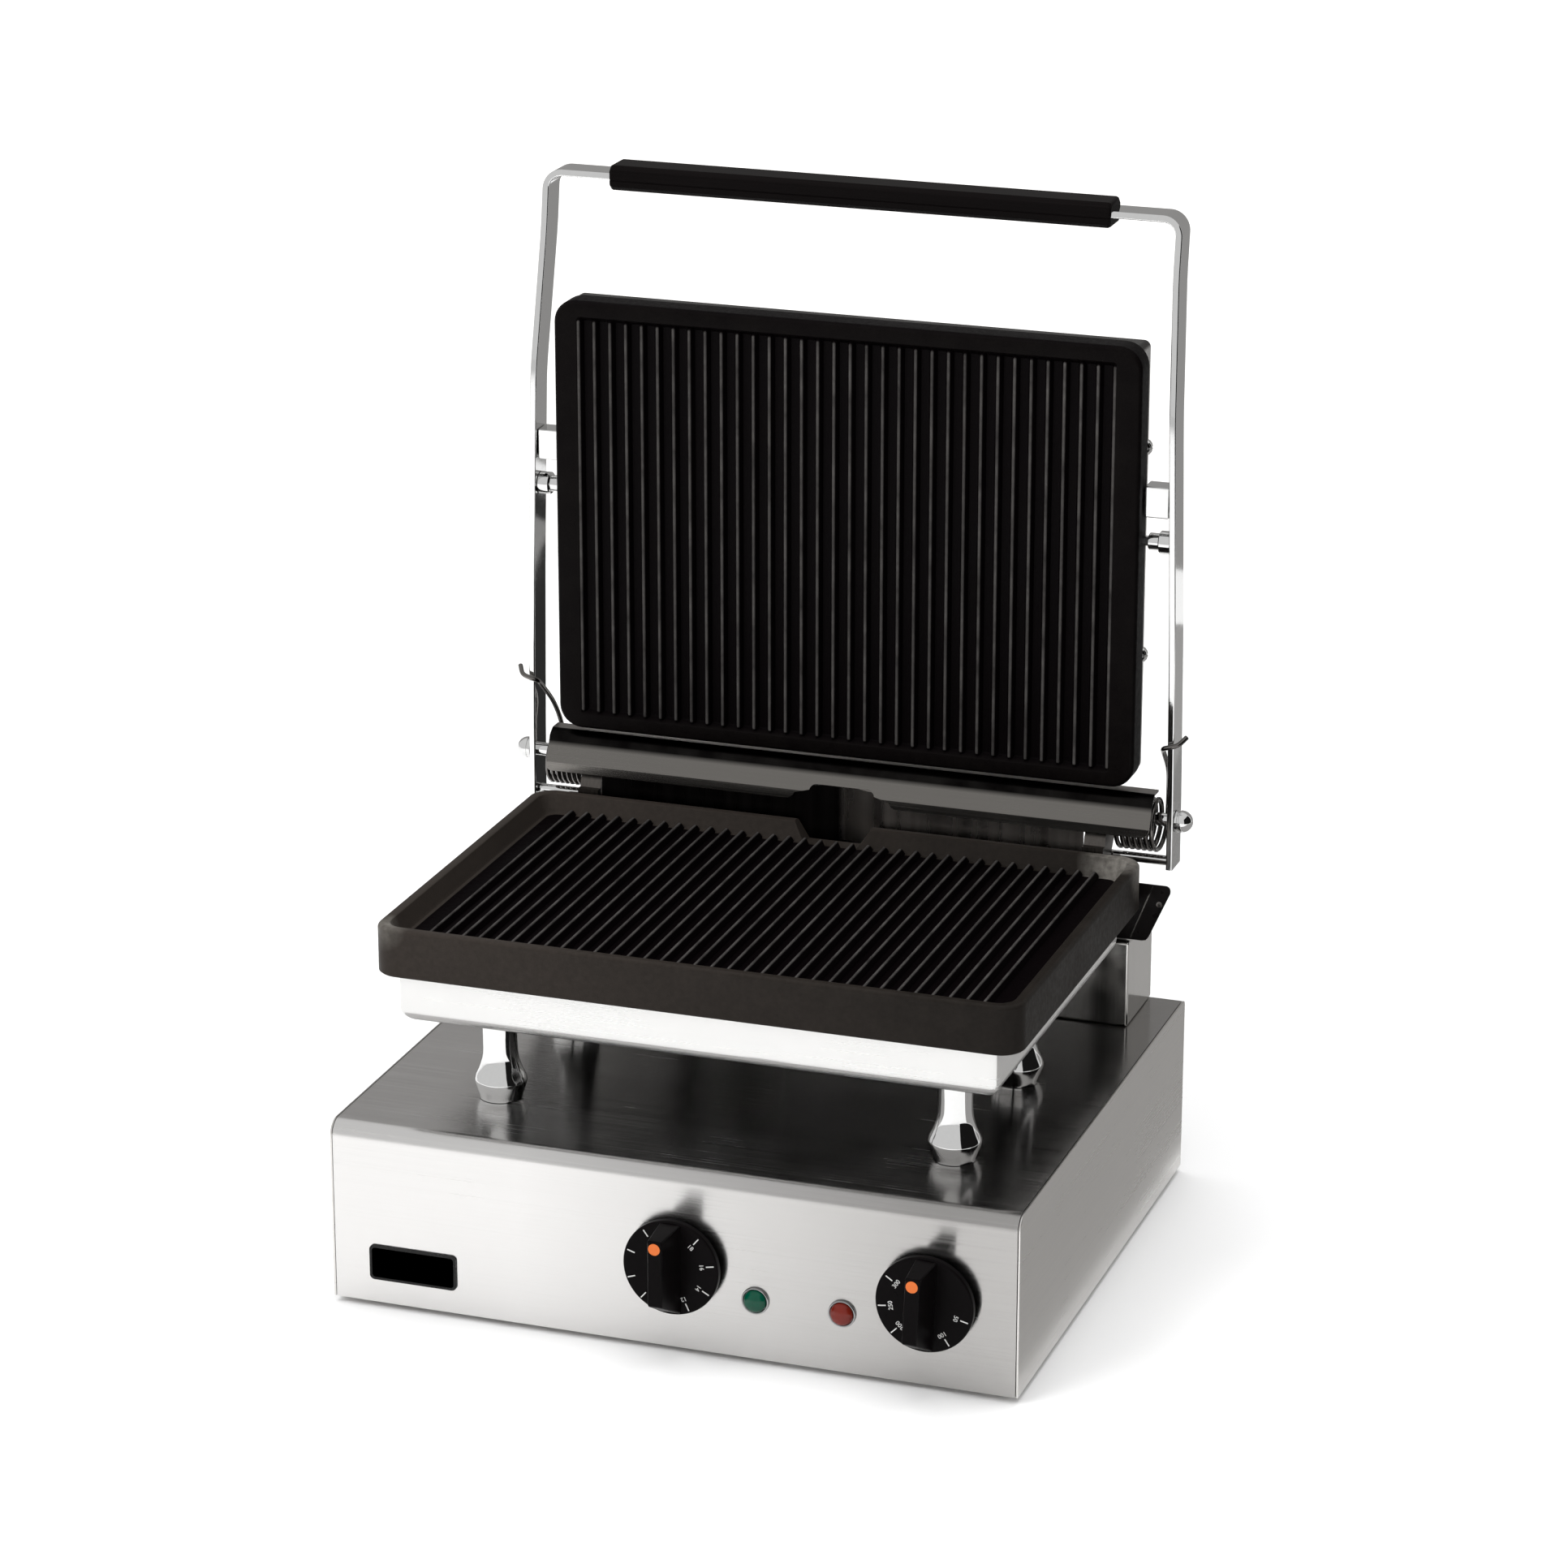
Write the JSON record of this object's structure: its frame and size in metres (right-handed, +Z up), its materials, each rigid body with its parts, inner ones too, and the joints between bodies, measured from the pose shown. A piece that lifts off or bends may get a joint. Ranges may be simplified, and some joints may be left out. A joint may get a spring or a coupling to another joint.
{
  "type": "panini press",
  "caption": "Commercial contact grill: box base with knobs and lamps, turned pillars, ribbed cast plate, and a ribbed upper plate on a hinged bent-bar handle.",
  "frame": {"origin": "under the middle of the bounding box, on the surface the press stands on", "axes": "+Z up, +X to the right of someone facing the controls, +Y towards the back; the front panel faces -Y"},
  "size_m": [0.4284, 0.388, 0.6015],
  "materials": {
    "stainless": "satin brushed stainless sheet",
    "polished_stainless": "bright polished sheet",
    "dark_steel": "heat-darkened folded sheet",
    "cast_iron": "seasoned, ribbed",
    "chrome": "mirror plated",
    "black_enamel": "gloss black enamel",
    "black_plastic": "gloss black phenolic",
    "rubber": "matt black",
    "heater": "dull sheathed heating element",
    "fibre": "mineral fibre and moulded insulation",
    "ceramic": "glazed ceramic, stood in for by gloss plastic",
    "green_lens": "translucent green",
    "red_lens": "translucent red"
  },
  "bodies": {
    "base": {"badge_plate": "black_plastic", "bottom_plate": "stainless", "cable_gland": "black_plastic", "cap_nut_left": "chrome", "cap_nut_right": "chrome", "foot_front_left": "rubber", "foot_front_right": "rubber", "foot_rear_left": "rubber", "foot_rear_right": "rubber", "grease_chute": "polished_stainless", "green_lamp_bezel": "chrome", "green_lamp_lens": "green_lens", "hinge_bracket_left": "stainless", "hinge_bracket_right": "stainless", "hinge_cover": "dark_steel", "hinge_shaft": "chrome", "housing_wrap": "stainless", "lower_casing": "stainless", "lower_heating_element": "heater", "lower_insulation_board": "fibre", "lower_plate": "cast_iron", "pedestal": "polished_stainless", "pillar_front_left": "chrome", "pillar_front_right": "chrome", "pillar_rear_left": "chrome", "pillar_rear_right": "chrome", "red_lamp_bezel": "chrome", "red_lamp_lens": "red_lens", "side_panel_left": "stainless", "side_panel_right": "stainless", "terminal_block": "ceramic", "thermostat_bulb": "chrome", "thermostat_unit": "fibre", "timer_unit": "fibre"},
    "timer_knob": {"timer_knob": "black_plastic", "timer_shaft": "chrome"},
    "thermostat_knob": {"thermostat_knob": "black_plastic", "thermostat_shaft": "chrome"},
    "grease_tray": {"grease_tray": "black_enamel"},
    "lid_handle": {"cross_rod": "chrome", "handle_bow": "chrome", "handle_grip": "black_plastic", "hinge_spring_left": "stainless", "hinge_spring_right": "stainless", "tilt_pin_left": "chrome", "tilt_pin_right": "chrome", "tilt_stop_left": "chrome", "tilt_stop_right": "chrome"},
    "upper_platen": {"casing_screw_lower_left": "chrome", "casing_screw_lower_right": "chrome", "casing_screw_upper_left": "chrome", "casing_screw_upper_right": "chrome", "upper_casing": "stainless", "upper_heating_element": "heater", "upper_insulation_board": "fibre", "upper_plate": "cast_iron"}
  },
  "joints": [
    {"name": "lid_hinge", "type": "hinge", "parent": "base", "child": "lid_handle", "pos_m": [0, 0.154, 0.236], "axis": [1, 0, 0], "range_deg": [0, 88], "stiffness_Nm_per_rad": 3.2, "springref_deg": -20.05},
    {"name": "platen_tilt", "type": "hinge", "parent": "lid_handle", "child": "upper_platen", "pos_m": [0, 0.1556, 0.4056], "axis": [1, 0, 0], "range_deg": [0, 5]},
    {"name": "timer_turn", "type": "hinge", "parent": "base", "child": "timer_knob", "pos_m": [0.0045, -0.163, 0.056], "axis": [0, 1, 0], "range_deg": [0, 300]},
    {"name": "thermostat_turn", "type": "hinge", "parent": "base", "child": "thermostat_knob", "pos_m": [0.153, -0.163, 0.056], "axis": [0, 1, 0], "range_deg": [-2.5, 267.5]},
    {"name": "tray_slide", "type": "slide", "parent": "base", "child": "grease_tray", "axis": [0, 1, 0], "range_m": [0, 0.05]}
  ]
}
